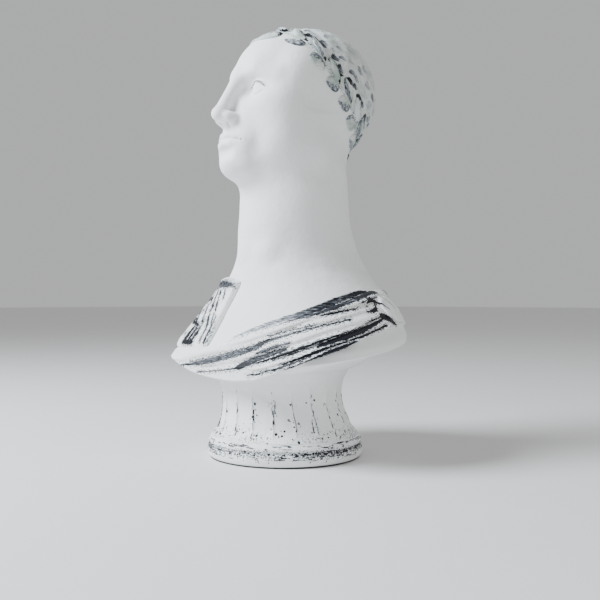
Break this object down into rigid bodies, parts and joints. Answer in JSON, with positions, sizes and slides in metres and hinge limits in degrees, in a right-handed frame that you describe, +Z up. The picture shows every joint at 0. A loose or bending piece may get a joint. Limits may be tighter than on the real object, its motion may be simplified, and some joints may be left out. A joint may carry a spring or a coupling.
{
  "type": "portrait bust on round socle",
  "caption": "White ceramic draped portrait bust with a leaf wreath, on a round fluted socle with a foot ring, decorated with loose dark brush strokes.",
  "frame": {"origin": "centre of the foot's underside, on the felt pad's resting face", "axes": "+Z up along the socle's axis; the chest faces -Y; the bust's own left shoulder is +X"},
  "size_m": [0.2295, 0.1775, 0.3988],
  "materials": {
    "white_ceramic": "matt",
    "washed_ceramic": "matt",
    "plaster": "matt",
    "steel": "zinc plated",
    "felt": "matt felt"
  },
  "bodies": {
    "root": {"head_neck": "white_ceramic", "shoulder_shell": "white_ceramic", "drape_sash": "white_ceramic", "drape_right": "white_ceramic", "drape_back": "white_ceramic", "shoulder_fold": "white_ceramic", "wreath_leaves": "washed_ceramic", "wreath_stem": "washed_ceramic", "socle_column": "white_ceramic", "socle_foot": "white_ceramic", "seat_bed": "plaster", "anchor_plug": "plaster", "tie_rod": "steel", "clamp_washer": "steel", "clamp_nut": "steel", "felt_pad": "felt"}
  },
  "joints": []
}
